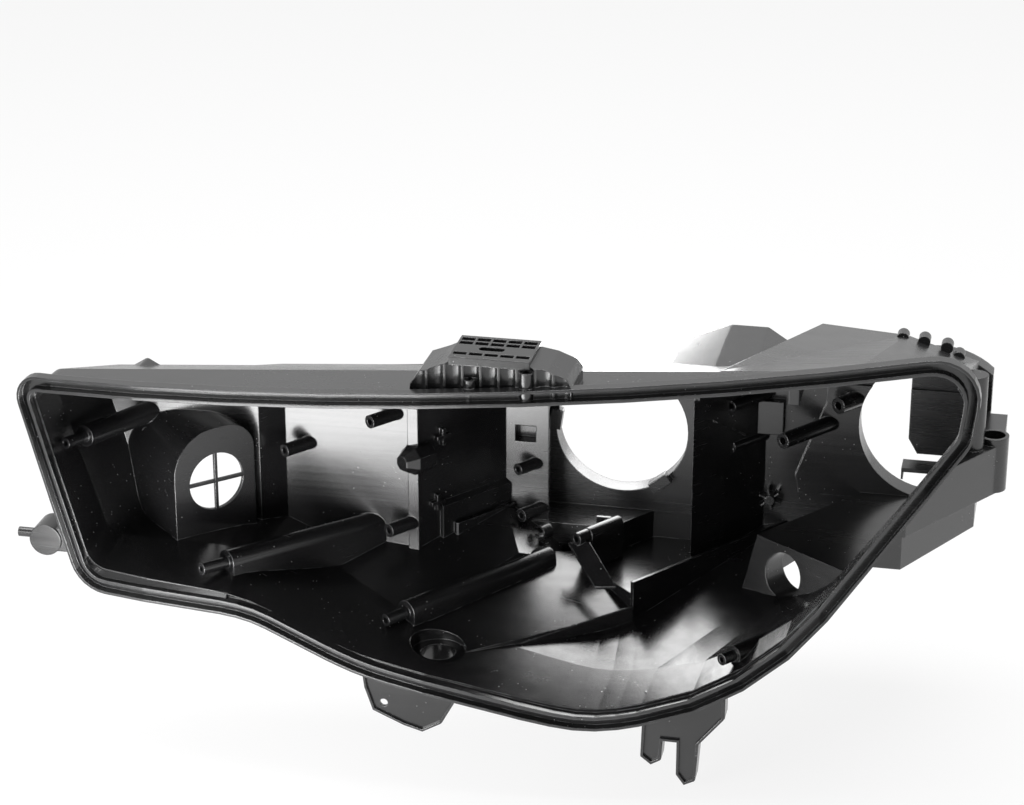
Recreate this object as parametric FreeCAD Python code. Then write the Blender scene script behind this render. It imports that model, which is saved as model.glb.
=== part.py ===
import FreeCAD, Part
import math
import os

# Headlamp housing: the back shell of a car headlamp, moulded in one piece.
# Millimetres. X runs along the lamp, Y to the back, Z up.
# The origin is the centre of the large service opening, on the front face of its wall.

# Walls and directions
WALL = 2.8
PULL_ANGLE = 36.0
PULL = FreeCAD.Vector(math.sin(math.radians(PULL_ANGLE)), math.cos(math.radians(PULL_ANGLE)), 0)
CROSS = FreeCAD.Vector(PULL.y, -PULL.x, 0)
FAR = 600.0

# Seal flange: the lens is glued into its channel
LENS_RADIUS = 1100.0
LENS_X = -140.0
LENS_Y = -250.0
LENS_SPREAD = 20.0
LENS_CHORDS = 11
LENS_TURN = math.radians(4.0)
RIM_WIDTH = 11.0
RIM_DEPTH = 9.0
LIP_OUTER = 2.0
LIP_INNER = 2.4
CHANNEL_DEPTH = 6.5

# Ends of the flange and its highest and lowest corners, as the sides run out to them
LEFT_END = -406.0
RIGHT_END = 279.0
TOP_EDGE = 147.0
LOW_EDGE = -135.0

# Outline of the flange seen from the front: x, z and radius of each corner
RIM_OUTLINE = [
    (LEFT_END, TOP_EDGE - 52, 18),
    (RIGHT_END, TOP_EDGE, 34),
    (RIGHT_END - 8, TOP_EDGE - 67, 24),
    (134, LOW_EDGE + 22, 200),
    (16, LOW_EDGE, 120),
    (-143, LOW_EDGE + 34, 200),
    (-229, -65, 90),
    (-358, -64, 28),
]

# Draft: how far each straight side has moved inwards at the middle section and at the back
# Sides in order: top, right end, right slope, bottom right, bottom, waist, bottom left, left end
MIDDLE_Y = -178.0
MIDDLE_SHIFT = [2, 0, 0, 7, 8, 0, 12, 2]
BACK_Y = 60.0
BACK_SHIFT = [78, -16, -66, 25, 20, 4, 12, 58]
BACK_RADII = [20, 25, 30, 60, 60, 60, 50, 20]
DRAFT_BEFORE = 0.2
CHORD_TURN = 0.24
LEAST_CHORDS = 3
LEAST_RADIUS = 0.5

# Depth of each back wall
LEFT_Y = -125.0
PANEL_Y = -105.0
LIGHT_Y = -35.0
MAIN_Y = 0.0
RIGHT_Y = 30.0

# Width of each back wall
PANEL_LEFT = -236.0
PANEL_RIGHT = -134.0
LIGHT_RIGHT = -50.0
RECESS_RIGHT = 56.0
PIER_X = 60.0

# Steps in the floor
RECESS_FLOOR = -66.0
STEP_FLOOR = -88.0
RECESS_EDGE = (-1.0, -37.0)
STEP_EDGE = (28.0, -105.0)
STEP_FRONT = 25.0
STEP_WALL_TOP = -78.0
STEP_WALL_DROP = 40.0

# Ramps that lift the floor: clockwise plan outline, then the planes on top of it,
# each by its height at the origin and its slopes in X and Y
FLOOR_RAMPS = [
    ([(-285, -249), (-150, -78), (-92, -20), (-38, -20), (-38, -60), (-137, -200), (-160, -240)],
     [(-48.1, -0.0903, 0.2747), (-112.7, -0.733, 0)]),
    ([(-137, -215), (-60, -60), (0, -37), (28, -106), (-96, -220)], [(-81.9, -0.159, 0.138)]),
]

# Arched hood on the left and leaning duct box on the right
POCKET_NOSE = (-299.0, -179.0)
POCKET_WIDTH = 66.0
POCKET_TOP = 40.0
POCKET_ARCH = 34.0
POCKET_SHOULDER = 22.0
DUCT_CORNER = (103.0, -68.0)
DUCT_TOP = -48.0
DUCT_FOOT = -150.0
DUCT_LEAN = 8.0

# Raised parts: profile in x and z, with the y where each starts and ends
POD_EDGE = 0.6
ROOF_PODS = [
    ([(50, 40), (50, 84), (86, 99), (112, 99), (126, 90), (126, 40)], -175, -30),
    ([(-190, 30), (-172, 76), (-80, 84), (-80, 30)], -190, -107),
    ([(-352, 30), (-350, 66), (-334, 76), (-312, 64), (-306, 30)], -190, -128),
]
# Sloping roof over the right opening: y of a section, and its profile from left to right
RIGHT_ROOF = [
    (-175, [(100, 90), (100, TOP_EDGE - 27), (187, TOP_EDGE - 21), (258, TOP_EDGE - 15), (258, 90)]),
    (26, [(150, 20), (150, 84), (210, 80), (262, 64), (262, 20)]),
]
# Boxes on the right end: plan outline, bottom and top. Each starts inside the tapered form
POD_START = 150.0
UPPER_POD_END = RIGHT_END + 7
LOWER_POD_END = RIGHT_END - 11
SIDE_PODS = [
    ([(POD_START, 26), (UPPER_POD_END, 26), (UPPER_POD_END, -32), (225, -128), (POD_START, -128)], -8, 24),
    ([(POD_START, 20), (LOWER_POD_END, 20), (LOWER_POD_END, -34), (222, -118), (POD_START, -118)], -38, -10),
]

# Round openings: x, z, radius and the y of the wall each goes through
SERVICE_OPENINGS = [
    (0.0, 0.0, 51.0, MAIN_Y),
    (236.0, 9.0, 58.0, RIGHT_Y),
]
COLLAR_DEPTH = 14.0
LUG_ANGLES = (172.0, -52.0)
CAP_HOOK_REACH = 5.0
CAP_HOOK_LENGTH = 9.0
CAP_HOOK_DEPTH = 8.0
CAP_HOOK_WIDTH = 16.0
CAP_HOOK_FOOT = 4.0
LAMP_RADIUS = 22.0
LAMP_ALONG = 34.0
LAMP_HEIGHT = -2.0
LAMP_BAR = 2.4
LAMP_CUT_FRONT = 6.0
LAMP_CUT_BACK = 30.0
DUCT_RADIUS = 17.0
DUCT_ACROSS = 38.0
DUCT_HEIGHT = -70.0
DUCT_SLEEVE = 20.0

# Screw bosses on the back walls, along the pull: x, y and z of the free end, outer radius, y of the foot
BOSSES = [
    (-232, -124, 13, 5.0, PANEL_Y),
    (-166, -125, 42, 5.0, PANEL_Y),
    (-153, -125, -44, 5.2, PANEL_Y),
    (-71, -50, -19, 4.6, LIGHT_Y),
    (-68, -52, -56, 5.2, LIGHT_Y),
    (84, -3, 27, 4.4, RIGHT_Y),
    (84, 2, -8, 4.6, RIGHT_Y),
    (73, 8, -34, 4.4, RIGHT_Y),
    (125, -15, 7, 6.0, RIGHT_Y),
    (163, 12, 28, 6.4, RIGHT_Y),
]
# Long bosses: free end, foot, radius at the free end, radius of the body, length of the slim end
# and depth of the web
LONG_BOSSES = [
    ((-371, -205, 40), (-334, -122, 36), 4.2, 8.0, 20.0, 0),
    ((-266, -225, -40), (-166, -98, -50), 4.4, 9.0, 22.0, 60),
    ((-137, -200, -80), (-44, -66, -82), 4.6, 9.0, 20.0, 60),
    ((108, -205, -83), (150, -149, -84), 4.2, 6.5, 12.0, 0),
    ((-21, -75, -61), (5, -38, -61), 5.0, 5.5, 12.0, 26),
]
BOSS_HOLE_SHARE = 0.5
BOSS_HOLE_DEPTH = 14.0
BOSS_SINK = 4.0

# Top bracket: cowl with ribs, and a waffle plate with a long slot
COWL_TOP = TOP_EDGE - 9
COWL_PROFILE = [
    (-108, COWL_TOP - 34), (-107, COWL_TOP - 18), (-101, COWL_TOP - 9), (-88, COWL_TOP - 4), (-80, COWL_TOP),
    (-24, COWL_TOP), (-12, COWL_TOP - 2), (1, COWL_TOP - 7), (5, COWL_TOP - 12), (5, COWL_TOP - 34),
]
COWL_FRONT = -236.0
COWL_DEPTH = 42.0
COWL_SCALLOPS = 9
COWL_OPEN_DROP = 50.0
SCALLOP_DEPTH = 2.2
SCALLOP_FOOT = 60.0
PLATE_LEFT = -80.0
PLATE_RIGHT = -24.0
PLATE_TOP = COWL_TOP + 4
PLATE_THICK = 6.0
PLATE_RIB = 1.6
PLATE_COLUMNS = 5
PLATE_FRONT_EDGE = 4.0
SLOT_BORDER = 3.0
TWO_ROW_DEPTH = 9.0
SLOT_CENTRE = (-54.0, COWL_FRONT + 19)
SLOT_LENGTH = 18.0
SLOT_WIDTH = 7.0
SLOT_DROP = 12.0
COWL_BOSSES = [(-65, COWL_FRONT, COWL_TOP - 11, 4.6), (-26, COWL_FRONT, COWL_TOP - 3, 5.0)]
COWL_BOSS_HEIGHT = 40.0
COWL_BOSS_HOLE = 15.0

# Right end: upright bush, its arm, and the round post
BUSH_CENTRE = (281.0, -30.0)
BUSH_BORE = 8.4
BUSH_RADIUS = BUSH_BORE + WALL
BUSH_TOP = 32.0
BUSH_LENGTH = 42.0
POST_CENTRE = (266.0, -45.0)
POST_RADIUS = 9.0
POST_TOP = 84.0
POST_FOOT = 20.0

# Fixings below: slotted leg, flat plate and the round tab on the left end
LEG_OUTLINE = [
    (54, -100), (52, -164), (60, -170), (67, -166), (68, -150), (78, -150),
    (78, -176), (84, -184), (92, -180), (94, -150), (112, -128), (112, -90),
]
LEG_FRONT = -208.0
LEG_DEPTH = 15.0
TAB_OUTLINE = [
    (-152, -90), (-149, -126), (-143, -144), (-120, -154),
    (-106, -158), (-92, -150), (-80, -128), (-80, -90),
]
TAB_FRONT = -216.0
TAB_HOLE = (-135.0, -138.0)
TAB_HOLE_RADIUS = 3.0
LUG_CENTRE = (LEFT_END + 15, -38.0)
LUG_RADIUS = 12.0
LUG_FRONT = -206.0
LUG_DEPTH = 22.0
LUG_ARM_SINK = 7.85
LUG_ARM_HEIGHT = 18.0
LUG_ARM_DEPTH = 18.0
PEG_RADIUS = 3.6
PEG_LENGTH = 24.0

# Blunt eight-sided knob on the edge of the panel: distance out and radius of each section
KNOB_BASE = (-134.0, -104.0, 8.0)
KNOB_SECTIONS = [(-8.0, 11.5), (8.0, 11.5), (17.0, 6.0)]

# Crossed ribs on the stepped wall, and the band and thin rib under them
CROSSED_SPOTS = [(-121.0, -88.0, 20.0), (-124.5, -92.0, -32.0)]
CROSSED_SPAN = 13.0
CROSSED_WIDTH = 3.0
CROSSED_HEIGHT = 3.5
BAND_START = 20.0
BAND_TOP = -33.0
BAND_DEPTH = 3.5
BAND_FOOT = 30.0
FLOOR_RIB = [(-116, -79), (-110, -84), (-76, -38)]
FLOOR_RIB_TOP = -52.0
THIN_RIB = 1.5

# Deep socket in the light wall
WALL_SOCKET = ((-76.0, -2.0), (-60.0, 11.0))
WALL_SOCKET_DEPTH = 11.0

# Fins and plates behind the pier
DIAGONAL_RIB = ((72.4, -18.0, 21.0), (94.2, 12.0, -1.0))
DIAGONAL_HEIGHT = 3.5
PIER_PLATE = ((98.0, 22.0, -4.0), (121.0, 31.0, 23.0))
PIER_BLOCK = ((127.0, -4.0, 32.0), (135.0, 31.0, 46.0))
FINNED_SOCKET = (113.0, 31.0, -58.0)
FINNED_RADIUS = 4.0
FIN_REACH = 9.0
FIN_DEPTH = 10.0
WALL_LAYER = [(153, 40), (153, 24), (131, -38), (134, -52), (276, -52), (276, 40)]
WALL_LAYER_DEPTH = 3.0

# Plate and shelf that close part of the right opening
OPENING_PLATE = [(216, 76), (216, 0), (223, -12), (276, -12), (276, 76)]
OPENING_SHELF = ((213.0, 6.0, -19.0), (262.0, 33.0, -16.0))
SHELF_LIP = 6.0

# Flat strip on the right edge of the panel, and the hook at the corner of the recess
EDGE_STRIP = ((-142.0, -108.0, -75.0), (-134.0, -103.0, 48.0))
HOOK = ((-12.0, -40.0, -70.0), (-1.0, -37.0, -57.0))

# Round drain in a sunk pad in the floor, open below
PAD_CENTRE = (-97.0, -204.0)
PAD_RADIUS = 20.0
PAD_LEVEL = -99.0
DRAIN_RADIUS = 12.5
DRAIN_DEPTH = 13.0

# Half-open clip and sloping tongue in the recess
CLIP_CENTRE = (-53.0, -55.0, -68.0)
CLIP_RADIUS = 6.0
CLIP_LENGTH = 9.0
TONGUE = [(-27, -73, -65), (-11, -73, -63), (16, -110, -80), (0, -110, -82)]
TONGUE_THICK = 2.2


def vec(x, y, z):
    return FreeCAD.Vector(x, y, z)


def unit(a, b):
    length = math.hypot(b[0] - a[0], b[1] - a[1])
    return ((b[0] - a[0]) / length, (b[1] - a[1]) / length)


def meet(p, d, q, e):
    """Point where the line through p along d meets the line through q along e."""
    k = ((q[0] - p[0]) * e[1] - (q[1] - p[1]) * e[0]) / (d[0] * e[1] - d[1] * e[0])
    return (p[0] + d[0] * k, p[1] + d[1] * k)


def moved(corners, shifts):
    """Corners of a clockwise outline after each of its sides has moved inwards by its own shift."""
    count = len(corners)
    result = []
    for i in range(count):
        before, here, after = corners[i - 1], corners[i], corners[(i + 1) % count]
        d, e = unit(before, here), unit(here, after)
        p = (here[0] + d[1] * shifts[i - 1], here[1] - d[0] * shifts[i - 1])
        q = (here[0] + e[1] * shifts[i], here[1] - e[0] * shifts[i])
        x, y = meet(p, d, q, e)
        result.append((x, y, here[2]))
    return result


def turns_in(corners, i):
    """True where a clockwise outline is convex."""
    before, here, after = corners[i - 1], corners[i], corners[(i + 1) % len(corners)]
    d, e = unit(before, here), unit(here, after)
    return d[0] * e[1] - d[1] * e[0] < 0


def inset(corners, distance):
    """The whole outline moved inwards, with its radii kept tangent."""
    result = []
    for i, (x, y, radius) in enumerate(moved(corners, [distance] * len(corners))):
        change = -distance if turns_in(corners, i) else distance
        result.append((x, y, max(radius + change, LEAST_RADIUS) if radius > 0 else 0))
    return result


def stretches(corners, steps=None):
    """Points along each corner's tangent arc: one point where the corner is sharp.
    Without a number of steps, a corner gets chords by how far it turns."""
    count = len(corners)
    result = []
    for i in range(count):
        before, here, after = corners[i - 1], corners[i], corners[(i + 1) % count]
        d, e = unit(before, here), unit(here, after)
        turn = math.atan2(d[0] * e[1] - d[1] * e[0], d[0] * e[0] + d[1] * e[1])
        radius = here[2]
        if radius == 0:
            result.append([here[:2]])
            continue
        side = 1 if turn > 0 else -1
        reach = radius * math.tan(abs(turn) / 2)
        start = (here[0] - d[0] * reach, here[1] - d[1] * reach)
        centre = (start[0] - d[1] * radius * side, start[1] + d[0] * radius * side)
        spoke = (start[0] - centre[0], start[1] - centre[1])
        points = []
        chords = steps or max(LEAST_CHORDS, math.ceil(abs(turn) / CHORD_TURN))
        for k in range(chords + 1):
            c, s = math.cos(turn * k / chords), math.sin(turn * k / chords)
            x = centre[0] + spoke[0] * c - spoke[1] * s
            points.append((x, centre[1] + spoke[0] * s + spoke[1] * c))
        result.append(points)
    return result


def rounded_wire(corners, place):
    """Closed wire of lines and tangent arcs; place turns two flat coordinates into a point."""
    edges = []
    arcs = [[place(*p) for p in points] for points in stretches(corners, 2)]
    for points, following in zip(arcs, arcs[1:] + arcs[:1]):
        if len(points) == 3:
            edges.append(Part.Arc(*points).toShape())
        if points[-1].distanceToPoint(following[0]) > 1e-6:
            edges.append(Part.LineSegment(points[-1], following[0]).toShape())
    return Part.Wire(edges)


def polygon_face(points):
    return Part.Face(Part.makePolygon(points + points[:1]))


def faceted(rings, twisted=False):
    """Solid through rings of points, with flat ends. Twisted sides are split into two triangles."""
    faces = [polygon_face(rings[0]), polygon_face(rings[-1])]
    for near, far in zip(rings, rings[1:]):
        for i in range(len(near)):
            j = (i + 1) % len(near)
            if twisted:
                faces.append(polygon_face([near[i], near[j], far[j]]))
                faces.append(polygon_face([near[i], far[j], far[i]]))
            else:
                faces.append(polygon_face([near[i], near[j], far[j], far[i]]))
    shell = Part.makeShell(faces)
    shell.sewShape()
    solid = Part.makeSolid(shell)
    if solid.Volume < 0:
        solid.reverse()
    return solid


def at_y(y):
    return lambda x, z: vec(x, y, z)


def rim_prism(distance, y_front, y_back):
    """Straight prism of the flange outline, moved inwards by a distance."""
    points = sum(stretches(inset(RIM_OUTLINE, distance)), [])
    return polygon_face([vec(x, y_front, z) for x, z in points]).extrude(vec(0, y_back - y_front, 0))


def lens_body(depth):
    """Everything behind the lens surface by a depth or more. The surface is curved in plan, in chords."""
    radius = LENS_RADIUS - depth
    middle = vec(LENS_X, LENS_Y + LENS_RADIUS, -FAR)
    points = []
    for k in range(LENS_CHORDS + 1):
        turn = math.radians(LENS_SPREAD * (2 * k / LENS_CHORDS - 1)) + LENS_TURN
        points.append(middle + vec(radius * math.sin(turn), -radius * math.cos(turn), 0))
    back = [vec(points[-1].x, FAR, -FAR), vec(points[0].x, FAR, -FAR)]
    return polygon_face(points + back).extrude(vec(0, 0, 2 * FAR))


def plan_prism(points, bottom, top, grow=0.0):
    """Upright prism over a clockwise plan outline."""
    corners = inset([(x, y, 0) for x, y in points], -grow)
    return polygon_face([vec(x, y, bottom) for x, y, r in corners]).extrude(vec(0, 0, top - bottom))


def along_pull(point, y):
    """Plan point reached from another along the pull direction."""
    return (point[0] + (y - point[1]) * PULL.x / PULL.y, y)


def plan_outline():
    """Plan of the inside: back walls in steps, joined by walls along the pull direction."""
    panel_end = (PANEL_RIGHT, PANEL_Y)
    light_start = along_pull(panel_end, LIGHT_Y)
    pier = (PIER_X, LIGHT_Y)
    pier_back = along_pull(pier, RIGHT_Y)
    left_end = along_pull((PANEL_LEFT, PANEL_Y), LEFT_Y)
    return [
        (-FAR, LEFT_Y),
        left_end,
        (PANEL_LEFT, PANEL_Y),
        panel_end,
        light_start,
        (LIGHT_RIGHT, LIGHT_Y),
        (-RECESS_RIGHT, MAIN_Y),
        (RECESS_RIGHT, MAIN_Y),
        pier,
        pier_back,
        (FAR, RIGHT_Y),
        (FAR, -FAR),
        (-FAR, -FAR),
    ]


def tapered(thickness):
    """Loft from the flange to the back, grown outwards by a thickness."""
    mouth = inset(RIM_OUTLINE, RIM_WIDTH - thickness)
    front = moved(mouth, [-DRAFT_BEFORE * shift for shift in MIDDLE_SHIFT])
    middle = moved(mouth, MIDDLE_SHIFT)
    back = []
    for i, (x, z, radius) in enumerate(moved(mouth, BACK_SHIFT)):
        back.append((x, z, BACK_RADII[i] + (thickness if turns_in(mouth, i) else -thickness)))
    rings = []
    for corners, y in [(front, LENS_Y - 20), (middle, MIDDLE_Y), (back, BACK_Y)]:
        points = sum(stretches(corners), [])
        rings.append([vec(x, y, z) for x, z in points])
    return faceted(rings)


def floor_steps(thickness):
    """Blocks under the raised floors: the recess floor, and the step beside it."""
    edge_back = along_pull(RECESS_EDGE, BACK_Y)
    recess = [(-FAR, RECESS_EDGE[1]), RECESS_EDGE, edge_back, (-FAR, BACK_Y)]
    step_back = along_pull(STEP_EDGE, BACK_Y)
    step_front = (STEP_EDGE[0] - STEP_FRONT, STEP_EDGE[1] + STEP_FRONT)
    step = [step_front, STEP_EDGE, step_back, (-FAR, BACK_Y), (-FAR, RECESS_EDGE[1]), RECESS_EDGE]
    blocks = []
    for outline, level in [(recess, RECESS_FLOOR), (step, STEP_FLOOR)]:
        clockwise = list(reversed(outline))
        blocks.append(plan_prism(clockwise, -FAR, level - thickness, -thickness))
    for outline, planes in FLOOR_RAMPS:
        corners = inset([(x, y, 0) for x, y in outline], thickness)
        under = []
        for height, slope_x, slope_y in planes:
            drop = thickness * math.sqrt(1 + slope_x * slope_x + slope_y * slope_y)
            top = [vec(x, y, height - drop + slope_x * x + slope_y * y) for x, y, r in corners]
            under.append(polygon_face(top).extrude(vec(0, 0, -FAR)))
        blocks.append(under[0].common(under[1:]) if under[1:] else under[0])
    return blocks


def pocket_block(thickness):
    """Arched hood that stands into the lamp on the left, round the small lamp opening."""
    run = vec(math.sqrt(0.5), math.sqrt(0.5), 0)
    normal = vec(run.y, -run.x, 0)

    def place(along, z):
        return vec(*POCKET_NOSE, 0) + run * along + vec(0, 0, z) - normal * thickness

    corners = [
        (0, POCKET_TOP, POCKET_ARCH),
        (POCKET_WIDTH, POCKET_TOP, POCKET_SHOULDER),
        (POCKET_WIDTH, -FAR, 1),
        (0, -FAR, 1),
    ]
    wire = rounded_wire(inset(corners, thickness), place)
    return Part.Face(wire).extrude(normal * -FAR)


def duct_block(thickness):
    """Leaning box in the lower right corner, with the oval duct in its face."""
    rings = []
    for level, lean in [(DUCT_FOOT, -DUCT_LEAN), (DUCT_TOP - thickness, DUCT_LEAN)]:
        low = vec(*DUCT_CORNER, level) + CROSS * (lean + thickness) + PULL * (lean + thickness)
        rings.append([low, low + CROSS * FAR, low + CROSS * FAR + PULL * FAR, low + PULL * FAR])
    return faceted(rings)


def pods(thickness):
    """Raised parts of the roof and the boxes on the right end, which stand out of the tapered form."""
    solids = []
    for profile, front, back in ROOF_PODS:
        wire = rounded_wire(inset([(x, z, POD_EDGE) for x, z in profile], -thickness), at_y(front))
        solids.append(Part.Face(wire).extrude(vec(0, back - front + thickness, 0)))
    rings = []
    for y, profile in RIGHT_ROOF:
        corners = inset([(x, z, 0) for x, z in profile], -thickness)
        rings.append([vec(x, y + thickness if y > MAIN_Y else y, z) for x, z, r in corners])
    solids.append(faceted(rings, twisted=True))
    for outline, bottom, top in SIDE_PODS:
        solids.append(plan_prism(outline, bottom - thickness, top + thickness, thickness))
    return solids


def form(thickness):
    """Space inside the housing, grown outwards by a thickness."""
    body = tapered(thickness).common(plan_prism(plan_outline(), -FAR, FAR, thickness))
    body = body.fuse(pods(thickness))
    hollows = floor_steps(thickness) + [pocket_block(thickness), duct_block(thickness)]
    return body.cut(hollows).common(lens_body(0))


def seal_flange():
    """Flange round the mouth, following the lens, with the glue channel."""
    ring = rim_prism(0, -FAR, FAR).cut(rim_prism(RIM_WIDTH, -FAR - 1, FAR + 1))
    ring = ring.common(lens_body(0)).cut(lens_body(RIM_DEPTH))
    channel = rim_prism(LIP_OUTER, -FAR, FAR).cut(rim_prism(RIM_WIDTH - LIP_INNER, -FAR - 1, FAR + 1))
    return ring.cut(channel.cut(lens_body(CHANNEL_DEPTH)))


def slab(points, way):
    return polygon_face(points).extrude(way)


def block_between(low, high):
    low, high = vec(*low), vec(*high)
    size = high - low
    return Part.makeBox(size.x, size.y, size.z, low)


def rod(start, end, radius):
    """Round bar between two points."""
    axis = end - start
    return Part.makeCylinder(radius, axis.Length, start, axis)


def service_collars():
    """Tubes round the large openings, standing out behind the wall."""
    collars = []
    for x, z, radius, y in SERVICE_OPENINGS:
        collars.append(rod(vec(x, y, z), vec(x, y + WALL + COLLAR_DEPTH, z), radius + WALL))
    end = OPENING_PLATE[-1][0]
    collars[1] = collars[1].cut(block_between((end, -FAR, -FAR), (FAR, FAR, FAR)))
    return collars


def service_holes():
    """Main opening, and the right one, which the plate at the end of the lamp closes in part."""
    holes = []
    for x, z, radius, y in SERVICE_OPENINGS:
        holes.append(rod(vec(x, y - WALL - WALL_LAYER_DEPTH, z), vec(x, y + 2 * COLLAR_DEPTH, z), radius))
    plate = slab([vec(x, -FAR, z) for x, z in OPENING_PLATE], vec(0, 2 * FAR, 0))
    holes[1] = holes[1].cut(plate)
    return holes


def bayonet_lugs():
    """Short hooks on the edge of the main opening that hold its cap."""
    x, z, radius, y = SERVICE_OPENINGS[0]
    lugs = []
    for angle in LUG_ANGLES:
        corner = vec(radius, -CAP_HOOK_DEPTH, -CAP_HOOK_WIDTH / 2)
        inner = corner - vec(CAP_HOOK_REACH, 0, 0)
        block = Part.makeBox(CAP_HOOK_LENGTH, CAP_HOOK_DEPTH, CAP_HOOK_WIDTH, inner)
        block = block.fuse(Part.makeBox(CAP_HOOK_FOOT, CAP_HOOK_DEPTH + WALL, CAP_HOOK_WIDTH, corner))
        block.rotate(vec(0, 0, 0), vec(0, 1, 0), -angle)
        block.translate(vec(x, y, z))
        lugs.append(block)
    return lugs


def lamp_hole():
    """Round lamp opening through the hood, with the cross of bars that stays in it."""
    run = vec(math.sqrt(0.5), math.sqrt(0.5), 0)
    normal = vec(run.y, -run.x, 0)
    centre = vec(*POCKET_NOSE, LAMP_HEIGHT) + run * LAMP_ALONG
    hole = rod(centre + normal * LAMP_CUT_FRONT, centre - normal * LAMP_CUT_BACK, LAMP_RADIUS)
    bars = []
    for width, height in [(LAMP_BAR, 2 * LAMP_RADIUS + 2), (2 * LAMP_RADIUS + 2, LAMP_BAR)]:
        low = centre - run * (width / 2) - vec(0, 0, height / 2)
        plan = [low, low + run * width, low + run * width - normal * LAMP_BAR, low - normal * LAMP_BAR]
        bars.append(polygon_face(plan).extrude(vec(0, 0, height)))
    return hole, bars


def duct():
    """Sleeve behind the leaning face of the box in the lower right corner, and the hole through both."""
    centre = vec(*DUCT_CORNER, DUCT_HEIGHT) + CROSS * DUCT_ACROSS
    half = DUCT_RADIUS + WALL
    low = centre - CROSS * half - vec(0, 0, half)
    side, up = CROSS * (2 * half), vec(0, 0, 2 * half)
    low += PULL * WALL
    sleeve = slab([low, low + side, low + side + up, low + up], PULL * DUCT_SLEEVE)
    return sleeve, rod(centre - PULL * WALL, centre + PULL * (DUCT_SLEEVE + 2 * WALL), DUCT_RADIUS)


def bosses():
    """Screw bosses along the pull direction, and their blind holes."""
    solids, holes = [], []
    for x, y, z, radius, foot in BOSSES:
        tip = vec(x, y, z)
        length = (foot - y) / PULL.y + BOSS_SINK
        solids.append(rod(tip, tip + PULL * length, radius))
        holes.append(rod(tip - PULL, tip + PULL * BOSS_HOLE_DEPTH, radius * BOSS_HOLE_SHARE))
    for tip, foot, slim, thick, length, depth in LONG_BOSSES:
        tip, foot = vec(*tip), vec(*foot)
        axis = (foot - tip).normalize()
        shoulder = tip + axis * length
        solids += [rod(tip, foot, slim), rod(shoulder, foot, thick)]
        if depth:
            side = axis.cross(vec(0, 0, 1)).normalize() * thick
            down = vec(0, 0, depth)
            web = [shoulder - side, foot - side, foot - side - down, shoulder - side - down]
            solids.append(polygon_face(web).extrude(side * 2))
        holes.append(rod(tip - axis, tip + axis * BOSS_HOLE_DEPTH, slim * BOSS_HOLE_SHARE))
    return solids, holes


def cowl():
    """Cowl of the top bracket: front wall and skin over the profile, with ribs inside."""
    depth = vec(0, COWL_DEPTH, 0)
    block = polygon_face([vec(x, COWL_FRONT, z) for x, z in COWL_PROFILE]).extrude(depth)
    inner = inset([(x, z, 0) for x, z in COWL_PROFILE], WALL)
    inner[0] = (inner[0][0], inner[0][1] - COWL_OPEN_DROP, 0)
    inner[-1] = (inner[-1][0], inner[-1][1] - COWL_OPEN_DROP, 0)
    hollow = polygon_face([vec(x, COWL_FRONT + 2 * WALL, z) for x, z, r in inner]).extrude(depth)
    left, right = COWL_PROFILE[0][0], COWL_PROFILE[-1][0]
    pitch = (right - left) / COWL_SCALLOPS
    ribs, scallops = [], []
    for k in range(1, COWL_SCALLOPS):
        corner = vec(left + k * pitch - PLATE_RIB / 2, COWL_FRONT, RIM_OUTLINE[0][1])
        ribs.append(Part.makeBox(PLATE_RIB, COWL_DEPTH, PLATE_TOP - RIM_OUTLINE[0][1], corner))
    for k in range(COWL_SCALLOPS):
        half = (pitch - PLATE_RIB) / 2
        radius = (half * half + SCALLOP_DEPTH * SCALLOP_DEPTH) / (2 * SCALLOP_DEPTH)
        middle = vec(left + (k + 0.5) * pitch, COWL_FRONT + SCALLOP_DEPTH - radius, SCALLOP_FOOT)
        scallops.append(Part.makeCylinder(radius, FAR, middle))
    return block.cut(hollow.cut(ribs)).cut(scallops)


def waffle_plate():
    """Fixing plate on the cowl: a slab with pockets that leave a grid of ribs round the slot."""
    back = COWL_FRONT + COWL_DEPTH
    corner = vec(PLATE_LEFT, COWL_FRONT, PLATE_TOP - PLATE_THICK)
    plate = Part.makeBox(PLATE_RIGHT - PLATE_LEFT, COWL_DEPTH, PLATE_THICK, corner)
    x, y = SLOT_CENTRE
    pockets = []
    level = PLATE_TOP - PLATE_THICK + WALL
    pitch = (PLATE_RIGHT - PLATE_LEFT - PLATE_RIB) / PLATE_COLUMNS
    frame = SLOT_WIDTH / 2 + SLOT_BORDER
    front = COWL_FRONT + PLATE_RIB + PLATE_FRONT_EDGE
    for near, far in [(front, y - frame), (y + frame, back - PLATE_RIB)]:
        rows = 1 if far - near < TWO_ROW_DEPTH else 2
        depth = (far - near) / rows
        for i in range(PLATE_COLUMNS):
            for j in range(rows):
                corner = vec(PLATE_LEFT + PLATE_RIB + i * pitch, near + j * depth, level)
                pockets.append(Part.makeBox(pitch - PLATE_RIB, depth - PLATE_RIB, PLATE_THICK, corner))
    radius = SLOT_WIDTH / 2
    reach = SLOT_LENGTH / 2 - radius
    low = PLATE_TOP - SLOT_DROP
    slot = Part.makeBox(2 * reach, SLOT_WIDTH, 2 * SLOT_DROP, vec(x - reach, y - radius, low))
    ends = [Part.makeCylinder(radius, 2 * SLOT_DROP, vec(x + side * reach, y, low)) for side in (-1, 1)]
    return plate.cut(pockets), slot.fuse(ends)


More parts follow.
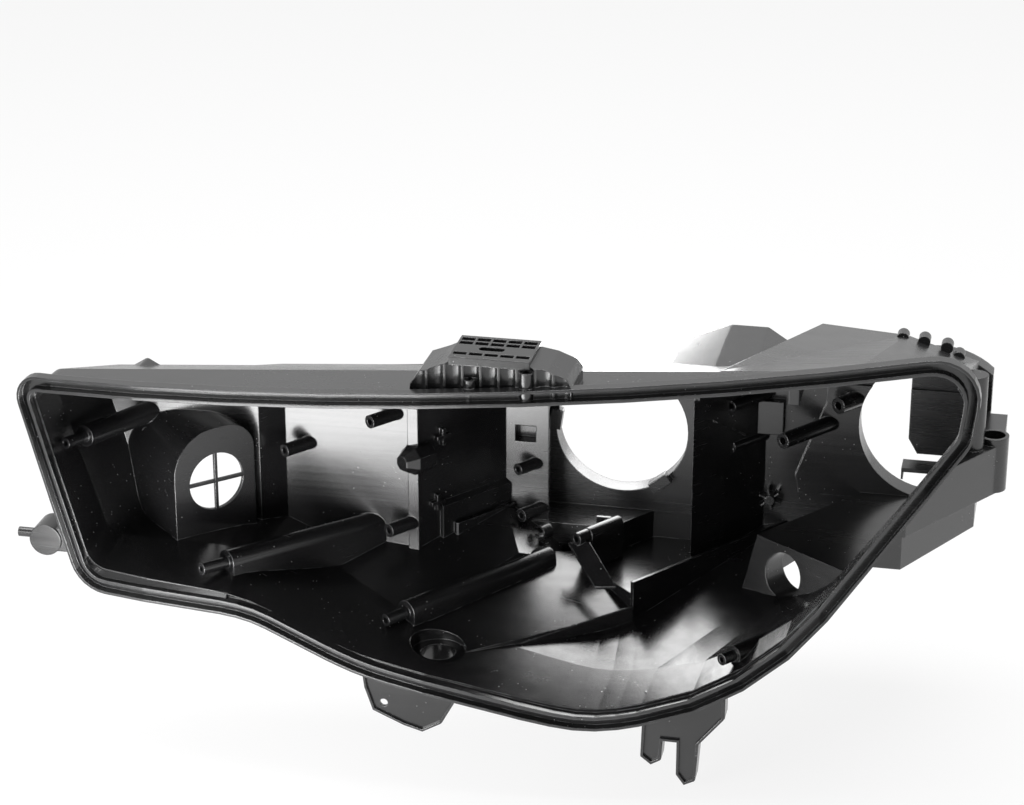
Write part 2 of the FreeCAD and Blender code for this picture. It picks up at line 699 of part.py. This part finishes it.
def cowl_bosses():
    """Two upright bosses in front of the cowl, and their holes."""
    posts, holes = [], []
    for x, y, top, radius in COWL_BOSSES:
        posts.append(Part.makeCylinder(radius, COWL_BOSS_HEIGHT, vec(x, y, top - COWL_BOSS_HEIGHT)))
        low = vec(x, y, top - COWL_BOSS_HOLE)
        holes.append(Part.makeCylinder(radius * BOSS_HOLE_SHARE, COWL_BOSS_HOLE + 1, low))
    return posts, holes


def right_bush():
    """Upright fixing bush, its bore, and the round post behind it."""
    x, y = BUSH_CENTRE
    low = BUSH_TOP - BUSH_LENGTH
    tube = Part.makeCylinder(BUSH_RADIUS, BUSH_LENGTH, vec(x, y, low))
    bore = Part.makeCylinder(BUSH_BORE, BUSH_LENGTH + 2 * WALL, vec(x, y, low - WALL))
    post = Part.makeCylinder(POST_RADIUS, POST_TOP - POST_FOOT, vec(*POST_CENTRE, POST_FOOT))
    return tube, bore, post


def knob():
    """Blunt eight-sided knob that points against the pull."""
    rings = []
    for out, radius in KNOB_SECTIONS:
        centre = vec(*KNOB_BASE) - PULL * out
        ring = []
        for k in range(8):
            turn = math.pi * (k + 0.5) / 4
            ring.append(centre + (CROSS * math.cos(turn) + vec(0, 0, math.sin(turn))) * radius)
        rings.append(ring)
    return faceted(rings)


def crossed_ribs():
    """Crossed ribs on the stepped wall."""
    ribs = []
    for spot in CROSSED_SPOTS:
        spot = vec(*spot) - CROSS
        for along, up in [(CROSSED_SPAN, CROSSED_WIDTH), (CROSSED_WIDTH, CROSSED_SPAN)]:
            low = spot - PULL * (along / 2) - vec(0, 0, up / 2)
            high = low + vec(0, 0, up)
            run = PULL * along
            ribs.append(slab([low, low + run, high + run, high], CROSS * (CROSSED_HEIGHT + 1)))
    return ribs


def stepped_wall_band():
    """Band along the foot of the stepped wall, and the thin rib on the floor beside it."""
    start = vec(PANEL_RIGHT, PANEL_Y, BAND_TOP) + PULL * BAND_START
    run = PULL * ((LIGHT_Y - PANEL_Y) / PULL.y - BAND_START + WALL)
    down = vec(0, 0, -BAND_FOOT)
    step = CROSS * BAND_DEPTH
    slope = step - vec(0, 0, BAND_DEPTH)
    section = [start - CROSS, start, start + slope, start + step + down, start - CROSS + down]
    bands = [slab(section, run)]
    for a, b in zip(FLOOR_RIB, FLOOR_RIB[1:]):
        along = unit(a, b)
        side = vec(along[1], -along[0], 0) * (THIN_RIB / 2)
        near, far = vec(*a, FLOOR_RIB_TOP), vec(*b, FLOOR_RIB_TOP)
        bands.append(slab([near - side, far - side, far + side, near + side], down))
    return bands


def wall_socket():
    """Block behind the light wall, and the deep socket in it."""
    (left, low), (right, high) = WALL_SOCKET
    back = LIGHT_Y + WALL_SOCKET_DEPTH
    box = block_between((left - WALL, LIGHT_Y, low - WALL), (right + WALL, back + WALL, high + WALL))
    return box, block_between((left, LIGHT_Y - WALL, low), (right, back, high))


def pier_details():
    """Diagonal rib, plate, block and finned socket beside and behind the pier."""
    near, far = vec(*DIAGONAL_RIB[0]) - CROSS, vec(*DIAGONAL_RIB[1]) - CROSS
    down = vec(0, 0, -THIN_RIB)
    solids = [slab([near, far, far + down, near + down], CROSS * (DIAGONAL_HEIGHT + 1))]
    solids += [block_between(*PIER_PLATE), block_between(*PIER_BLOCK)]
    solids.append(slab([vec(x, RIGHT_Y + 1, z) for x, z in WALL_LAYER], vec(0, -WALL_LAYER_DEPTH - 1, 0)))
    foot = vec(*FINNED_SOCKET)
    solids.append(rod(foot, foot - vec(0, FIN_DEPTH + 2, 0), FINNED_RADIUS))
    for turn in (20, 80, 140):
        fin = Part.makeBox(2 * FIN_REACH, FIN_DEPTH, THIN_RIB, vec(-FIN_REACH, -FIN_DEPTH, -THIN_RIB / 2))
        fin.rotate(vec(0, 0, 0), vec(0, 1, 0), turn)
        fin.translate(foot)
        solids.append(fin)
    return solids


def step_wall():
    """Thin wall that stands on the outer edge of the lower step."""
    start = vec(*STEP_EDGE, STEP_WALL_TOP)
    end = vec(*along_pull(STEP_EDGE, RIGHT_Y), STEP_WALL_TOP)
    side = CROSS * -WALL
    return slab([start, end, end + side, start + side], vec(0, 0, -STEP_WALL_DROP))


def opening_shelf():
    """Shelf with a turned-down lip across the right opening."""
    low, high = OPENING_SHELF
    lip = block_between((low[0], low[1], low[2] - SHELF_LIP), (low[0] + THIN_RIB, high[1], high[2]))
    return [block_between(low, high), lip]


def drain():
    """Material under the sunk pad and its drain, and what is cut from it."""
    x, y = PAD_CENTRE
    top = PAD_LEVEL + PAD_RADIUS / 2
    foot = PAD_LEVEL - DRAIN_DEPTH
    under = []
    for radius, low, high in [(PAD_RADIUS, PAD_LEVEL - WALL, top), (DRAIN_RADIUS, foot, PAD_LEVEL)]:
        half = radius + WALL
        under.append(block_between((x - half, y - half, low), (x + half, y + half, high)))
    cuts = [
        rod(vec(x, y, PAD_LEVEL), vec(x, y, top + WALL), PAD_RADIUS),
        rod(vec(x, y, foot - WALL), vec(x, y, top), DRAIN_RADIUS),
    ]
    return under, cuts


def recess_clip():
    """Clip, open to the left, and the sloping tongue in the recess."""
    centre = vec(*CLIP_CENTRE)
    ring = rod(centre, centre + PULL * CLIP_LENGTH, CLIP_RADIUS)
    ring = ring.cut(rod(centre - PULL, centre + PULL * (CLIP_LENGTH + 1), CLIP_RADIUS - THIN_RIB))
    gap = centre - CROSS * CLIP_RADIUS - PULL - vec(0, 0, CLIP_RADIUS / 2)
    up = vec(0, 0, CLIP_RADIUS)
    side = CROSS * CLIP_RADIUS
    gap = slab([gap, gap + side, gap + side + up, gap + up], PULL * (CLIP_LENGTH + 2))
    corner = centre - vec(CLIP_RADIUS / 2, 0, 4 * CLIP_RADIUS - 1)
    foot = Part.makeBox(CLIP_RADIUS, CLIP_LENGTH, 3 * CLIP_RADIUS, corner)
    tongue = slab([vec(*corner) for corner in TONGUE], vec(0, 0, -TONGUE_THICK))
    return [ring.cut(gap), foot, tongue]


def slotted_leg():
    """Leg below the flange with a slot open downwards, pocketed in front."""
    return polygon_face([vec(x, LEG_FRONT, z) for x, z in LEG_OUTLINE]).extrude(vec(0, LEG_DEPTH, 0))


def lower_tab():
    """Flat plate below the flange, with a hole."""
    tab = polygon_face([vec(x, TAB_FRONT, z) for x, z in TAB_OUTLINE]).extrude(vec(0, WALL, 0))
    x, z = TAB_HOLE
    return tab.cut(rod(vec(x, TAB_FRONT - WALL, z), vec(x, TAB_FRONT + 2 * WALL, z), TAB_HOLE_RADIUS))


def left_lug():
    """Round lug on the left end, its arm into the side of the flange, and its locating peg."""
    x, z = LUG_CENTRE
    disc = rod(vec(x, LUG_FRONT, z), vec(x, LUG_FRONT + LUG_DEPTH, z), LUG_RADIUS)
    corner = vec(x, LUG_FRONT + (LUG_DEPTH - LUG_ARM_DEPTH) / 2, z - LUG_ARM_HEIGHT / 2)
    top, foot = RIM_OUTLINE[0], RIM_OUTLINE[-1]
    side = top[0] + (foot[0] - top[0]) * (z - top[1]) / (foot[1] - top[1])
    arm = Part.makeBox(side + LUG_ARM_SINK - x, LUG_ARM_DEPTH, LUG_ARM_HEIGHT, corner)
    middle = vec(x, LUG_FRONT + LUG_DEPTH / 2, z)
    return [disc, arm, rod(middle, middle - vec(PEG_LENGTH, 0, 0), PEG_RADIUS)]


def housing():
    inside = form(0)
    outside = form(WALL).common(lens_body(RIM_DEPTH - 1))
    lamp, bars = lamp_hole()
    posts, post_holes = cowl_bosses()
    plate, plate_slot = waffle_plate()
    bush, bore, post = right_bush()
    boss_solids, boss_holes = bosses()
    socket_block, socket = wall_socket()
    drain_under, drain_cuts = drain()
    sleeve, duct_hole = duct()

    outer = [cowl(), plate, slotted_leg(), lower_tab(), post, socket_block] + posts
    outer += left_lug() + service_collars() + drain_under + [sleeve]
    shell = outside.fuse(outer).cut(inside)
    inner = boss_solids + crossed_ribs() + stepped_wall_band() + pier_details() + recess_clip()
    inner += [knob(), step_wall(), block_between(*EDGE_STRIP), block_between(*HOOK)]
    inner = inner[0].fuse(inner[1:]).common(outside)
    body = shell.fuse([inner, seal_flange(), bush] + opening_shelf())
    cuts = service_holes() + [duct_hole, lamp, bore, plate_slot, socket]
    cuts += boss_holes + post_holes + drain_cuts
    body = body.cut(cuts)
    return body.fuse(bars + bayonet_lugs()).removeSplitter()


os.makedirs("parts", exist_ok=True)
shape = housing()
print("valid", shape.isValid(), "solids", len(shape.Solids), "volume", round(shape.Volume))
box = shape.BoundBox
print("box", [round(v, 1) for v in (box.XMin, box.XMax, box.YMin, box.YMax, box.ZMin, box.ZMax)])
shape.exportStep("parts/housing.step")
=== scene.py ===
import bpy
import math
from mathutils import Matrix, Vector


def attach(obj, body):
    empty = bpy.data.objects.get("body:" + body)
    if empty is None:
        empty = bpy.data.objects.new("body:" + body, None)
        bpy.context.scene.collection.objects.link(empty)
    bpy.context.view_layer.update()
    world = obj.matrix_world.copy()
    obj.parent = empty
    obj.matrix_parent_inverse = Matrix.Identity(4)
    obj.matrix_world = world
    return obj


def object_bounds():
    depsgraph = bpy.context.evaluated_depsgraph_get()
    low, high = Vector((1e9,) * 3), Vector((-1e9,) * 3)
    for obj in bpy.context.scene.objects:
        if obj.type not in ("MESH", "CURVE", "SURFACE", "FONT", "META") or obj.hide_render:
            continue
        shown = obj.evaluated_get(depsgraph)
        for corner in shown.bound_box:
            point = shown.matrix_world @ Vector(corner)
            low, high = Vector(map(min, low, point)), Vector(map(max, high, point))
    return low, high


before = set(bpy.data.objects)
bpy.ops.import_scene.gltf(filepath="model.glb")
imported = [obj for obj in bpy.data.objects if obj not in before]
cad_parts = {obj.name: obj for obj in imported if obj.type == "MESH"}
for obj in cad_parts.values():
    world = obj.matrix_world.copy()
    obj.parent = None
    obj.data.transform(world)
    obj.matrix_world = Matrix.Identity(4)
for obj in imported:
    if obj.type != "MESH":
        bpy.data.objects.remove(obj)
cad_low, cad_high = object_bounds()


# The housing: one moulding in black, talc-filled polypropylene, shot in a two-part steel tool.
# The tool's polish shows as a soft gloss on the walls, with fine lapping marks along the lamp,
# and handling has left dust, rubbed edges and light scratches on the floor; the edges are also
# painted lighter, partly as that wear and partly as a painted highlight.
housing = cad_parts["housing"]

PLASTIC_BLACK = (0.005, 0.005, 0.0053, 1)
PLASTIC_BLOOM = (0.019, 0.019, 0.0197, 1)
DUST_GREY = (0.34, 0.34, 0.34, 1)
WORN_EDGE_AND_HIGHLIGHT_GREY = (0.085, 0.085, 0.088, 1)
EDGE_SOFTNESS = 0.0011
SPECK_SCALE = 210
SCRATCH_STRENGTH = 0.35
GLOSS_RANGE = (0.19, 0.25)
BLOOM_DULLING = 0.07
DUST_DULLING = 0.4
SKIN_STRENGTH = 0.08
SKIN_DEPTH = 0.0006

plastic = bpy.data.materials.new("black_moulded_plastic")
plastic.use_nodes = True
tree = plastic.node_tree
tree.nodes.clear()


def node(kind, **values):
    made = tree.nodes.new(kind)
    for name, value in values.items():
        setattr(made, name, value)
    return made


def link(source, target):
    tree.links.new(source, target)


def noise(place, scale, detail=3.0, roughness=0.5):
    made = node("ShaderNodeTexNoise")
    made.inputs["Scale"].default_value = scale
    made.inputs["Detail"].default_value = detail
    made.inputs["Roughness"].default_value = roughness
    link(place, made.inputs["Vector"])
    return made.outputs["Fac"]


def stretched(place, scale, turn=(0, 0, 0)):
    made = node("ShaderNodeMapping")
    made.inputs["Scale"].default_value = scale
    made.inputs["Rotation"].default_value = turn
    link(place, made.inputs["Vector"])
    return made.outputs["Vector"]


def between(value, low, high, start=0.0, end=1.0):
    made = node("ShaderNodeMapRange")
    made.inputs["From Min"].default_value = low
    made.inputs["From Max"].default_value = high
    made.inputs["To Min"].default_value = start
    made.inputs["To Max"].default_value = end
    link(value, made.inputs["Value"])
    return made.outputs["Result"]


def sums(kind, a, b):
    made = node("ShaderNodeMath", operation=kind)
    for socket, value in zip(made.inputs, (a, b)):
        if isinstance(value, (int, float)):
            socket.default_value = value
        else:
            link(value, socket)
    return made.outputs["Value"]


def mixed(amount, a, b):
    made = node("ShaderNodeMix", data_type="RGBA")
    link(amount, made.inputs[0])
    for socket, value in ((made.inputs[6], a), (made.inputs[7], b)):
        if isinstance(value, tuple):
            socket.default_value = value
        else:
            link(value, socket)
    return made.outputs[2]


place = node("ShaderNodeTexCoord").outputs["Object"]
shape = node("ShaderNodeNewGeometry")
finish = node("ShaderNodeBsdfPrincipled")
surface = node("ShaderNodeOutputMaterial")
link(finish.outputs["BSDF"], surface.inputs["Surface"])

# Softened edges: where the rounded normal leaves the flat one, the edge is painted lighter, partly
# as rubbed wear and partly as a painted highlight of light caught on the edge
rounding = node("ShaderNodeBevel", samples=6)
rounding.inputs["Radius"].default_value = EDGE_SOFTNESS
turned = node("ShaderNodeVectorMath", operation="DOT_PRODUCT")
link(rounding.outputs["Normal"], turned.inputs[0])
link(shape.outputs["Normal"], turned.inputs[1])
edge = between(turned.outputs["Value"], 0.995, 0.86)
rubbed_and_highlit_edges = sums("MULTIPLY", edge, between(noise(place, 90, 4), 0.42, 0.62))

# Colour: cloudy bloom, dust specks and short scratches over the black
bloom = between(noise(place, 7, 5), 0.35, 0.75)
specks = node("ShaderNodeTexVoronoi")
specks.inputs["Scale"].default_value = SPECK_SCALE
link(place, specks.inputs["Vector"])
specks = between(specks.outputs["Distance"], 0.085, 0.05)
dust = sums("MULTIPLY", specks, between(noise(place, 24, 2), 0.52, 0.60))
scratches = between(noise(stretched(place, (9, 260, 120), (0.2, 0.1, 0.6)), 1.0, 2), 0.735, 0.76)
scratches = sums("MULTIPLY", scratches, between(noise(place, 11, 2), 0.5, 0.6))
colour = mixed(bloom, PLASTIC_BLACK, PLASTIC_BLOOM)
# Edges painted lighter grey: partly rubbed wear, partly a painted highlight where the edges catch
# the light
colour = mixed(rubbed_and_highlit_edges, colour, WORN_EDGE_AND_HIGHLIGHT_GREY)
colour = mixed(sums("MULTIPLY", scratches, SCRATCH_STRENGTH), colour, DUST_GREY)
colour = mixed(dust, colour, DUST_GREY)
link(colour, finish.inputs["Base Color"])

# Gloss: streaks of polish along the lamp, duller where dust and bloom lie
streaks = noise(stretched(place, (3, 70, 420)), 1.0, 4, 0.6)
gloss = between(streaks, 0.3, 0.7, *GLOSS_RANGE)
gloss = sums("ADD", gloss, sums("MULTIPLY", bloom, BLOOM_DULLING))
gloss = sums("ADD", gloss, sums("MULTIPLY", dust, DUST_DULLING))
link(gloss, finish.inputs["Roughness"])
finish.inputs["IOR"].default_value = 1.5
finish.inputs["Specular IOR Level"].default_value = 0.9

# Skin: lapping marks, a little orange peel and fine grain
marks = sums("MULTIPLY", streaks, 0.10)
peel = sums("MULTIPLY", noise(place, 160, 2), 0.35)
grain = sums("MULTIPLY", noise(place, 2600, 2), 0.12)
skin = node("ShaderNodeBump")
skin.inputs["Strength"].default_value = SKIN_STRENGTH
skin.inputs["Distance"].default_value = SKIN_DEPTH
link(sums("ADD", sums("ADD", marks, peel), grain), skin.inputs["Height"])
link(rounding.outputs["Normal"], skin.inputs["Normal"])
link(skin.outputs["Normal"], finish.inputs["Normal"])

housing.data.materials.clear()
housing.data.materials.append(plastic)


# The leg's rim: the real leg is pocketed to keep its walls even, so a thin rib runs round
# its front and round its two prongs, and stands proud of the face between.
RIB_PROUD = 0.0022
RIB_SINK = 0.0006
LEG_RIB = 0.0018
SHARPEST = 0.35


def shrunk(corners, width):
    """A clockwise outline moved inwards."""
    count = len(corners)
    result = []
    for i in range(count):
        (ax, az), (bx, bz), (cx, cz) = corners[i - 1], corners[i], corners[(i + 1) % count]
        d = math.hypot(bx - ax, bz - az)
        e = math.hypot(cx - bx, cz - bz)
        dx, dz, ex, ez = (bx - ax) / d, (bz - az) / d, (cx - bx) / e, (cz - bz) / e
        k = width / max(1 + dx * ex + dz * ez, SHARPEST)
        result.append((bx + (dz + ez) * k, bz - (dx + ex) * k))
    return result


def carried(name, points, faces):
    """A mesh in the housing's plastic that rides on it."""
    mesh = bpy.data.meshes.new(name)
    mesh.from_pydata(points, [], faces)
    mesh.update()
    piece = bpy.data.objects.new(name, mesh)
    bpy.context.scene.collection.objects.link(piece)
    mesh.materials.append(plastic)
    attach(piece, "root")


def rim(name, corners, width, face_y):
    """Flat rib along the edge of a plate, proud of its front face."""
    inner = shrunk(corners, width)
    front, sunk = face_y - RIB_PROUD, face_y + RIB_SINK
    count = len(corners)
    points = []
    for ring, y in ((corners, front), (inner, front), (corners, sunk), (inner, sunk)):
        points += [(x, y, z) for x, z in ring]
    faces = []
    for i in range(count):
        j = (i + 1) % count
        faces.append((i, count + i, count + j, j))
        faces.append((2 * count + i, i, j, 2 * count + j))
        faces.append((count + i, 3 * count + i, 3 * count + j, count + j))
    carried(name, points, faces)


LEG_FACE = -0.208
leg_edge = [
    (0.0545, -0.112), (0.1115, -0.112), (0.1115, -0.128), (0.0938, -0.150), (0.0918, -0.1795),
    (0.0842, -0.1834), (0.0784, -0.1756), (0.0784, -0.1496), (0.0676, -0.1496), (0.0666, -0.1655),
    (0.0600, -0.1695), (0.0524, -0.1636)]
rim("leg_rim", leg_edge, LEG_RIB, LEG_FACE)


# The tab's rim: a rolled edge that stiffens the flat plate with the hole on the lower left.
# It follows the plate's own outline and stands proud of the front face only.
TAB_FACE = -0.216
TAB_RIB = 0.0016
tab_edge = [
    (-0.1515, -0.104), (-0.0804, -0.104), (-0.0804, -0.128), (-0.0923, -0.1496), (-0.1060, -0.1575),
    (-0.1198, -0.1536), (-0.1427, -0.1437), (-0.1487, -0.126)]
rim("tab_rim", tab_edge, TAB_RIB, TAB_FACE)


# The floor rib: one long rib along the crest of the floor step, which stiffens the floor
# beside the drain. It is thin, as moulded, with a rounded top.
RIB_HALF = 0.0009
RIB_HEIGHT = 0.009
RIB_BEVEL = 0.0006
CREST_SHARE = 0.4
RIB_TOP = [(-0.094, -0.218, -0.1055), (-0.033, -0.162, -0.1010), (0.028, -0.106, -0.0965)]
half_section = ((1, RIB_HEIGHT), (1, RIB_BEVEL), (CREST_SHARE, 0))
section = half_section + tuple((-side, drop) for side, drop in reversed(half_section))
corners = len(section)
points, faces = [], []
for i, (x, y, z) in enumerate(RIB_TOP):
    ax, ay, az = RIB_TOP[max(i - 1, 0)]
    bx, by, bz = RIB_TOP[min(i + 1, len(RIB_TOP) - 1)]
    length = math.hypot(bx - ax, by - ay)
    sx, sy = (by - ay) / length * RIB_HALF, (ax - bx) / length * RIB_HALF
    for side, drop in section:
        points.append((x + sx * side, y + sy * side, z - drop))
for i in range(len(RIB_TOP) - 1):
    for k in range(corners - 1):
        a, b = corners * i + k, corners * (i + 1) + k
        faces.append((a, a + 1, b + 1, b))
last = corners * (len(RIB_TOP) - 1)
faces.append(tuple(reversed(range(corners))))
faces.append(tuple(range(last, last + corners)))
carried("step_rib", points, faces)


# The flange web: on the lower left the floor draws in steeply behind the flange, and a thin
# sloping web joins the two there, so that no slit shows between them.
# It follows the mouth's corner and lower edge, and the lens surface in plan.
MOUTH_LEVEL = -0.0530
MOUTH_SLOPE = -0.00775
MOUTH_CORNER = (-0.3372, -0.0360)
MOUTH_RADIUS = 0.0170
MOUTH_TURN = (math.radians(196.8), math.radians(270))
CORNER_STEPS = 8
EDGE_STEPS = 10
WEB_END = -0.243
WEB_FRONT = 0.005
WEB_BACK = 0.0095
WEB_BURIED = 0.0003
WEB_THICK = 0.0012
LENS_MIDDLE = (-0.140, 0.850)
LENS_RADIUS = 1.100
FLOOR_DRAFT = 0.012
SIDE_DRAFT = 0.002
DRAFT_START = -0.270
DRAFT_RUN = 0.092
DRAFT_BEFORE = 0.2


def draw_in(draft, y):
    """How far a side has moved inwards at a depth behind the lens."""
    return draft * ((1 + DRAFT_BEFORE) * (y - DRAFT_START) / DRAFT_RUN - DRAFT_BEFORE)


stations = []
for k in range(CORNER_STEPS + 1):
    share = k / CORNER_STEPS
    turn = MOUTH_TURN[0] + (MOUTH_TURN[1] - MOUTH_TURN[0]) * share
    out = (math.cos(turn), math.sin(turn))
    spot = (MOUTH_CORNER[0] + MOUTH_RADIUS * out[0], MOUTH_CORNER[1] + MOUTH_RADIUS * out[1])
    stations.append((spot, out, SIDE_DRAFT + (FLOOR_DRAFT - SIDE_DRAFT) * share))
for k in range(1, EDGE_STEPS + 1):
    x = MOUTH_CORNER[0] + (WEB_END - MOUTH_CORNER[0]) * k / EDGE_STEPS
    level = MOUTH_LEVEL + MOUTH_SLOPE * (x - MOUTH_CORNER[0])
    stations.append(((x, level), (0, -1), FLOOR_DRAFT))
points, faces = [], []
for (x, z), (ox, oz), draft in stations:
    lens = LENS_MIDDLE[1] - math.sqrt(LENS_RADIUS ** 2 - (x - LENS_MIDDLE[0]) ** 2)
    front, back = lens + WEB_FRONT, lens + WEB_BACK
    raised = max(draw_in(draft, back), 0)
    for y, inwards in ((front, -WEB_BURIED), (back, raised - WEB_BURIED),
                       (back, raised - WEB_BURIED - WEB_THICK), (front, -WEB_BURIED - WEB_THICK)):
        points.append((x - ox * inwards, y, z - oz * inwards))
for i in range(len(stations) - 1):
    for k in range(4):
        a, b = 4 * i, 4 * (i + 1)
        faces.append((a + k, b + k, b + (k + 1) % 4, a + (k + 1) % 4))
last = 4 * (len(stations) - 1)
faces.append((3, 2, 1, 0))
faces.append((last, last + 1, last + 2, last + 3))
carried("flange_web", points, faces)


# The roof studs: four small hollow studs behind the sloping roof on the right, where clips
# for the cables push in. Only their ends show over the edge.
STUD_SIDES = 20
STUD_RADIUS = 0.0046
STUD_LENGTH = 0.012
STUD_FRONT = 0.018
STUD_SPOTS = ((0.208, 0.0835), (0.224, 0.0820), (0.241, 0.0785), (0.250, 0.0715))
STUD_RINGS = ((1.0, 0), (1.0, 0.92), (0.9, 1.0), (0.5, 1.0), (0.45, 0.94), (0.45, 0.4))
points, faces = [], []
for x, z in STUD_SPOTS:
    base = len(points)
    for radius, along in STUD_RINGS:
        for k in range(STUD_SIDES):
            turn = 2 * math.pi * k / STUD_SIDES
            reach = STUD_RADIUS * radius
            y = STUD_FRONT + STUD_LENGTH * along
            points.append((x + reach * math.cos(turn), y, z + reach * math.sin(turn)))
    for ring in range(len(STUD_RINGS) - 1):
        start = base + ring * STUD_SIDES
        for k in range(STUD_SIDES):
            a, b = start + k, start + (k + 1) % STUD_SIDES
            faces.append((a, b, b + STUD_SIDES, a + STUD_SIDES))
    faces.append(tuple(start + STUD_SIDES + k for k in range(STUD_SIDES)))
    faces.append(tuple(base + k for k in reversed(range(STUD_SIDES))))
carried("roof_studs", points, faces)


# The floor: a plain white sheet under the housing, which is held just clear of it.
# It shows white to the camera and keeps a soft shadow. In the plastic's gloss it fades to
# the front and to the back, where the room is dim.
FLOOR_DROP = 0.004
FLOOR_HALF = 7.0
FLOOR_WHITE = 0.86
FRONT_FADE = (-0.75, -0.30)
FRONT_SHARE = 0.22
BACK_FADE = (0.20, 0.70)
BACK_SHARE = 0.35
level = cad_low.z - FLOOR_DROP
floor_mesh = bpy.data.meshes.new("floor")
floor_mesh.from_pydata(
    [(-FLOOR_HALF, -FLOOR_HALF, level), (FLOOR_HALF, -FLOOR_HALF, level),
     (FLOOR_HALF, FLOOR_HALF, level), (-FLOOR_HALF, FLOOR_HALF, level)],
    [], [(0, 1, 2, 3)])
floor = bpy.data.objects.new("floor", floor_mesh)
bpy.context.scene.collection.objects.link(floor)
paper = bpy.data.materials.new("white_floor")
paper.use_nodes = True
tree = paper.node_tree
tree.nodes.clear()
matt = node("ShaderNodeBsdfDiffuse")
matt.inputs["Color"].default_value = (0.92, 0.92, 0.92, 1)
glow = node("ShaderNodeEmission")
glow.inputs["Color"].default_value = (1, 1, 1, 1)
ray = node("ShaderNodeLightPath")
spot = node("ShaderNodeSeparateXYZ")
link(node("ShaderNodeNewGeometry").outputs["Position"], spot.inputs[0])
mirrored = between(spot.outputs["Y"], *FRONT_FADE, FRONT_SHARE, 1.0)
mirrored = sums("MULTIPLY", mirrored, between(spot.outputs["Y"], *BACK_FADE, 1.0, BACK_SHARE))
mirrored = sums("MULTIPLY", ray.outputs["Is Glossy Ray"], mirrored)
seen = sums("MAXIMUM", ray.outputs["Is Camera Ray"], mirrored)
blend = node("ShaderNodeMixShader")
link(sums("MULTIPLY", seen, FLOOR_WHITE), blend.inputs["Fac"])
link(matt.outputs["BSDF"], blend.inputs[1])
link(glow.outputs["Emission"], blend.inputs[2])
link(blend.outputs["Shader"], node("ShaderNodeOutputMaterial").inputs["Surface"])
floor_mesh.materials.append(paper)


# The studio: a room that is white to the camera and dim in front of the housing, a wide soft
# lamp overhead, a small one behind the main opening, a weak one to the left and a low one in
# front, which the panel mirrors.
ROOM_FILL = 0.30
ROOM_FRONT = 0.30
ROOM_FADE = (-0.45, 0.25)
room = bpy.data.worlds.new("room")
bpy.context.scene.world = room
room.use_nodes = True
tree = room.node_tree
tree.nodes.clear()
ray = node("ShaderNodeLightPath")
way = node("ShaderNodeSeparateXYZ")
link(node("ShaderNodeTexCoord").outputs["Generated"], way.inputs[0])
mirrored = between(way.outputs["Y"], *ROOM_FADE, ROOM_FRONT, 1.0)
mirrored = sums("MULTIPLY", ray.outputs["Is Glossy Ray"], mirrored)
seen = sums("MAXIMUM", ray.outputs["Is Camera Ray"], ray.outputs["Is Transmission Ray"])
seen = sums("MAXIMUM", seen, mirrored)
sky = node("ShaderNodeBackground")
link(between(seen, 0, 1, ROOM_FILL, 1.0), sky.inputs["Strength"])
link(sky.outputs["Background"], node("ShaderNodeOutputWorld").inputs["Surface"])


def soft_lamp(name, size, power, spot, aim):
    lamp = bpy.data.lights.new(name, "AREA")
    lamp.shape = "RECTANGLE"
    lamp.size, lamp.size_y = size
    lamp.energy = power
    held = bpy.data.objects.new(name, lamp)
    bpy.context.scene.collection.objects.link(held)
    held.location = spot
    way = type(held.location)(aim) - held.location
    held.rotation_euler = way.to_track_quat("-Z", "Y").to_euler()
    held.visible_camera = False


soft_lamp("overhead_lamp", (2.4, 1.4), 60, (-0.1, 0.2, 1.9), (-0.06, -0.15, 0))
soft_lamp("back_lamp", (0.19, 0.14), 0.5, (-0.025, 0.10, 0.045), (-0.025, 0, 0.045))
soft_lamp("front_lamp", (1.2, 0.5), 8, (-0.95, -1.6, 0.35), (-0.15, -0.1, 0))
soft_lamp("low_lamp", (0.36, 0.15), 2.2, (-0.29, -0.50, -0.095), (-0.23, -0.1, -0.06))


# The camera: a long lens, above the housing and a little to its right
view_point = bpy.data.cameras.new("camera")
view_point.sensor_width = 36.0
view_point.lens = 98.4375
view_point.clip_end = 60.0
camera = bpy.data.objects.new("camera", view_point)
bpy.context.scene.collection.objects.link(camera)
camera.location = (0.32919, -1.95368, 0.82162)
camera.rotation_euler = (math.radians(68), 0, math.radians(12))
bpy.context.scene.camera = camera
bpy.context.scene.view_settings.view_transform = "Standard"
